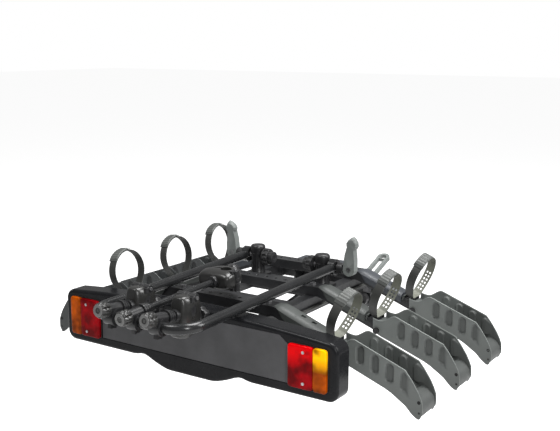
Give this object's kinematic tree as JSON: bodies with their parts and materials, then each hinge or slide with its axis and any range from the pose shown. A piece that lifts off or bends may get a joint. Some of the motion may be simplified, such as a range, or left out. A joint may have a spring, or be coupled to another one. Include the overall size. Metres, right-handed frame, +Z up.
{
  "type": "tow-ball bicycle carrier",
  "caption": "Tilting tow-ball platform carrier for bicycles with sloping wheel channels, strap loops, fold-down holding frame, clamp arms and a rear light panel.",
  "frame": {"origin": "centre of the tow ball", "axes": "+Y towards the vehicle, +Z up, +X to the right when looking along +Y at the light panel"},
  "size_m": [1.124, 1.2631, 0.32],
  "materials": {
    "cast_black": "black powder coat",
    "steel_satin_black": "satin black powder coat",
    "zinc": "zinc plated",
    "black_plastic": "fine moulded grain",
    "slate_plastic": "moulded",
    "panel_plastic": "satin moulded",
    "plate_grey": "smooth",
    "stone_plastic": "grey-green, fine grain",
    "khaki_plastic": "light grey, fine grain",
    "strap_rubber": "dark flexible",
    "liner": "friction liner",
    "red_lens": "transparent moulded",
    "amber_lens": "transparent moulded",
    "bulb": "clear",
    "reflector": "metallised",
    "gasket": "soft"
  },
  "bodies": {
    "coupling": {"coupling_body": "cast_black", "cup_liner": "liner", "lever_pin": "zinc", "tilt_pin": "zinc"},
    "platform": {"pedal_pin": "zinc", "chassis_frame": "steel_satin_black", "mechanism_cover": "slate_plastic", "tray_rails": "steel_satin_black", "nose_caps": "khaki_plastic", "wheel_channels": "stone_plastic", "channel_bolts": "black_plastic", "strap_anchors": "black_plastic", "strap_clips": "khaki_plastic", "wheel_straps": "strap_rubber", "strap_buckles": "khaki_plastic", "rail_end_caps": "black_plastic", "rail_bolts": "zinc", "light_panel": "panel_plastic", "plate_board": "plate_grey", "panel_brackets": "steel_satin_black", "lamp_bases": "reflector", "lamp_gaskets": "gasket", "lamp_bulbs": "bulb", "lens_red": "red_lens", "lens_amber": "amber_lens", "lamp_screws": "zinc", "wiring_loom": "strap_rubber", "plug": "black_plastic", "plug_holder": "black_plastic", "hinge_brackets": "black_plastic", "hinge_bolts": "zinc"},
    "coupling_lever": {"coupling_handle": "stone_plastic"},
    "ball_jaw": {"ball_jaw": "zinc"},
    "pedal": {"foot_pedal": "steel_satin_black"},
    "fold_frame": {"u_frame": "steel_satin_black"},
    "cam_lever_left": {"cam_lever_left": "stone_plastic"},
    "hand_wheel_left": {"hand_wheel_left": "black_plastic"},
    "cam_lever_right": {"cam_lever_right": "stone_plastic"},
    "hand_wheel_right": {"hand_wheel_right": "black_plastic"},
    "arm_left": {"arm_clamp_left": "black_plastic", "arm_rod_left": "steel_satin_black", "arm_bolts_left": "zinc", "fixed_jaw_left": "black_plastic"},
    "jaw_left": {"moving_jaw_left": "black_plastic"},
    "jaw_knob_left": {"jaw_knob_left": "black_plastic"},
    "bar_knob_left": {"bar_knob_left": "black_plastic"},
    "arm_middle": {"arm_clamp_middle": "black_plastic", "arm_rod_middle": "steel_satin_black", "arm_bolts_middle": "zinc", "fixed_jaw_middle": "black_plastic"},
    "jaw_middle": {"moving_jaw_middle": "black_plastic"},
    "jaw_knob_middle": {"jaw_knob_middle": "black_plastic"},
    "bar_knob_middle": {"bar_knob_middle": "black_plastic"},
    "arm_right": {"arm_clamp_right": "black_plastic", "arm_rod_right": "steel_satin_black", "arm_bolts_right": "zinc", "fixed_jaw_right": "black_plastic"},
    "jaw_right": {"moving_jaw_right": "black_plastic"},
    "jaw_knob_right": {"jaw_knob_right": "black_plastic"},
    "bar_knob_right": {"bar_knob_right": "black_plastic"}
  },
  "joints": [
    {"name": "tilt", "type": "hinge", "parent": "coupling", "child": "platform", "pos_m": [0, -0.215, 0.115], "axis": [1, 0, 0], "range_deg": [0, 38]},
    {"name": "frame_fold", "type": "hinge", "parent": "platform", "child": "fold_frame", "pos_m": [0, -0.437, 0.216], "axis": [-1, 0, 0], "range_deg": [0, 91.2]},
    {"name": "coupling_handle_turn", "type": "hinge", "parent": "coupling", "child": "coupling_lever", "pos_m": [0, 0.008, 0.06], "axis": [1, 0, 0], "range_deg": [0, 95]},
    {"name": "ball_jaw_slide", "type": "slide", "parent": "coupling", "child": "ball_jaw", "axis": [0, -1, 0], "range_m": [0, 0.0026]},
    {"name": "pedal_press", "type": "hinge", "parent": "platform", "child": "pedal", "pos_m": [0, -0.318, 0.109], "axis": [1, 0, 0], "range_deg": [0, 6]},
    {"name": "cam_lever_left_turn", "type": "hinge", "parent": "platform", "child": "cam_lever_left", "pos_m": [-0.192, -0.437, 0.216], "axis": [0, -1, 0], "range_deg": [0, 90]},
    {"name": "hand_wheel_left_spin", "type": "hinge", "parent": "platform", "child": "hand_wheel_left", "pos_m": [-0.067, -0.437, 0.216], "axis": [1, 0, 0], "continuous": true},
    {"name": "cam_lever_right_turn", "type": "hinge", "parent": "platform", "child": "cam_lever_right", "pos_m": [0.192, -0.437, 0.216], "axis": [0, 1, 0], "range_deg": [0, 90]},
    {"name": "hand_wheel_right_spin", "type": "hinge", "parent": "platform", "child": "hand_wheel_right", "pos_m": [0.067, -0.437, 0.216], "axis": [1, 0, 0], "continuous": true},
    {"name": "arm_left_swing", "type": "hinge", "parent": "fold_frame", "child": "arm_left", "pos_m": [-0.068, -1.05986, 0.20295], "axis": [1, 0, 0], "range_deg": [0, 150]},
    {"name": "jaw_left_open", "type": "hinge", "parent": "arm_left", "child": "jaw_left", "pos_m": [-0.068, -0.96069, 0.24758], "axis": [1, 0, 0], "range_deg": [0, 15]},
    {"name": "jaw_knob_left_spin", "type": "hinge", "parent": "jaw_left", "child": "jaw_knob_left", "pos_m": [-0.068, -0.91813, 0.19111], "axis": [0, 0.9903, -0.1392], "continuous": true},
    {"name": "bar_knob_left_spin", "type": "hinge", "parent": "arm_left", "child": "bar_knob_left", "pos_m": [-0.068, -1.09301, 0.22579], "axis": [0, 0.9903, -0.1392], "continuous": true},
    {"name": "arm_middle_swing", "type": "hinge", "parent": "fold_frame", "child": "arm_middle", "pos_m": [0, -1.05986, 0.20295], "axis": [1, 0, 0], "range_deg": [0, 150]},
    {"name": "jaw_middle_open", "type": "hinge", "parent": "arm_middle", "child": "jaw_middle", "pos_m": [0.04, -0.74069, 0.23211], "axis": [0, 0.0349, -0.9994], "range_deg": [0, 28]},
    {"name": "jaw_knob_middle_spin", "type": "hinge", "parent": "jaw_middle", "child": "jaw_knob_middle", "pos_m": [-0.01, -0.69072, 0.23386], "axis": [0, 0.9994, 0.0349], "continuous": true},
    {"name": "bar_knob_middle_spin", "type": "hinge", "parent": "arm_middle", "child": "bar_knob_middle", "pos_m": [0, -1.09647, 0.21969], "axis": [0, 0.9994, 0.0349], "continuous": true},
    {"name": "arm_right_swing", "type": "hinge", "parent": "fold_frame", "child": "arm_right", "pos_m": [0.068, -1.05986, 0.20295], "axis": [1, 0, 0], "range_deg": [0, 150]},
    {"name": "jaw_right_open", "type": "hinge", "parent": "arm_right", "child": "jaw_right", "pos_m": [0.068, -0.96069, 0.24758], "axis": [1, 0, 0], "range_deg": [0, 15]},
    {"name": "jaw_knob_right_spin", "type": "hinge", "parent": "jaw_right", "child": "jaw_knob_right", "pos_m": [0.068, -0.91813, 0.19111], "axis": [0, 0.9903, -0.1392], "continuous": true},
    {"name": "bar_knob_right_spin", "type": "hinge", "parent": "arm_right", "child": "bar_knob_right", "pos_m": [0.068, -1.09301, 0.22579], "axis": [0, 0.9903, -0.1392], "continuous": true}
  ],
  "couplings": [
    {"joint": "ball_jaw_slide", "follows": "coupling_handle_turn", "m_per_rad": 0.0015}
  ]
}
